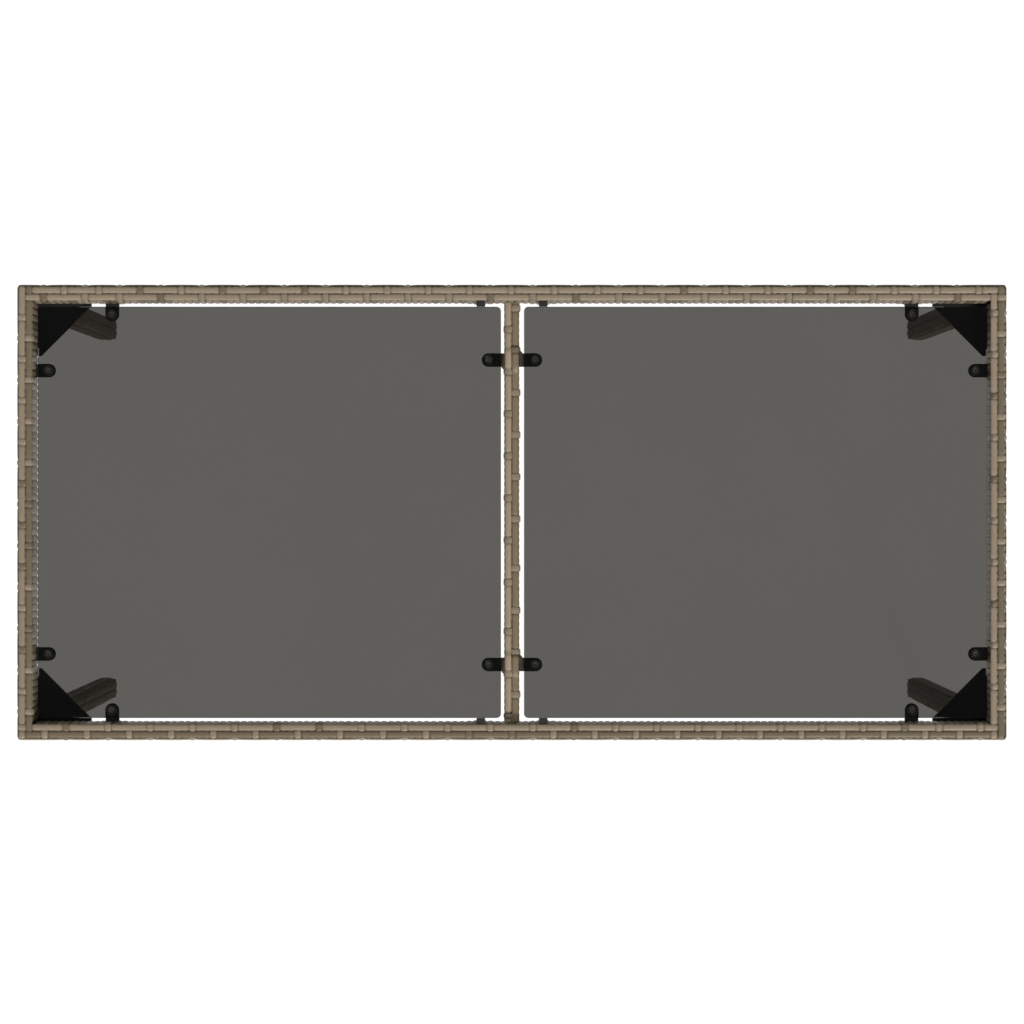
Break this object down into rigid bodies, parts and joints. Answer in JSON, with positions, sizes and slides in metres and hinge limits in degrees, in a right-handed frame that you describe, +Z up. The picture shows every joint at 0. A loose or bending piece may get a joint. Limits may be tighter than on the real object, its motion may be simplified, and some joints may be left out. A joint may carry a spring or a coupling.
{
  "type": "wicker coffee table",
  "caption": "Low rectangular garden table: slim wicker-wrapped steel frame and legs, a cross bar, and loose smoked glass panes resting on soft cups on steel tabs.",
  "frame": {"origin": "on the floor, under the middle of the table top", "axes": "+X along the table's length to its right end, +Y to its back, +Z up"},
  "size_m": [1.1, 0.505, 0.4],
  "materials": {
    "wicker": "ribbed matt",
    "frame_steel": "powder coat",
    "black_steel": "powder coat",
    "smoked_glass": "polished",
    "soft_cup": "translucent soft",
    "stop_rubber": "matt",
    "foot_plastic": "moulded",
    "zinc_steel": "zinc plated"
  },
  "bodies": {
    "frame": {"front_rail_tube": "frame_steel", "front_rail_wicker": "wicker", "cross_bar_strip_front": "black_steel", "back_rail_tube": "frame_steel", "back_rail_wicker": "wicker", "cross_bar_strip_back": "black_steel", "left_rail_tube": "frame_steel", "left_rail_wicker": "wicker", "left_glass_cups": "soft_cup", "right_rail_tube": "frame_steel", "right_rail_wicker": "wicker", "right_glass_cups": "soft_cup", "cross_bar_tube": "frame_steel", "cross_bar_wicker": "wicker", "leg_plate_front_left": "black_steel", "leg_tube_front_left": "frame_steel", "leg_wicker_front_left": "wicker", "foot_cap_front_left": "foot_plastic", "glass_stop_front_left": "stop_rubber", "long_rail_tab_front_left": "black_steel", "short_rail_tab_front_left": "black_steel", "leg_plate_back_left": "black_steel", "leg_tube_back_left": "frame_steel", "leg_wicker_back_left": "wicker", "foot_cap_back_left": "foot_plastic", "glass_stop_back_left": "stop_rubber", "long_rail_tab_back_left": "black_steel", "short_rail_tab_back_left": "black_steel", "leg_plate_front_right": "black_steel", "leg_tube_front_right": "frame_steel", "leg_wicker_front_right": "wicker", "foot_cap_front_right": "foot_plastic", "glass_stop_front_right": "stop_rubber", "long_rail_tab_front_right": "black_steel", "short_rail_tab_front_right": "black_steel", "leg_plate_back_right": "black_steel", "leg_tube_back_right": "frame_steel", "leg_wicker_back_right": "wicker", "foot_cap_back_right": "foot_plastic", "glass_stop_back_right": "stop_rubber", "long_rail_tab_back_right": "black_steel", "short_rail_tab_back_right": "black_steel", "leg_bolts": "zinc_steel", "leg_washers": "zinc_steel", "rivet_nuts": "zinc_steel"},
    "left_pane": {"left_glass_pane": "smoked_glass"},
    "right_pane": {"right_glass_pane": "smoked_glass"}
  },
  "joints": [
    {"name": "left_pane_lift", "type": "slide", "parent": "frame", "child": "left_pane", "axis": [0, 0, 1], "range_m": [0, 0.1]},
    {"name": "right_pane_lift", "type": "slide", "parent": "frame", "child": "right_pane", "axis": [0, 0, 1], "range_m": [0, 0.1]}
  ]
}
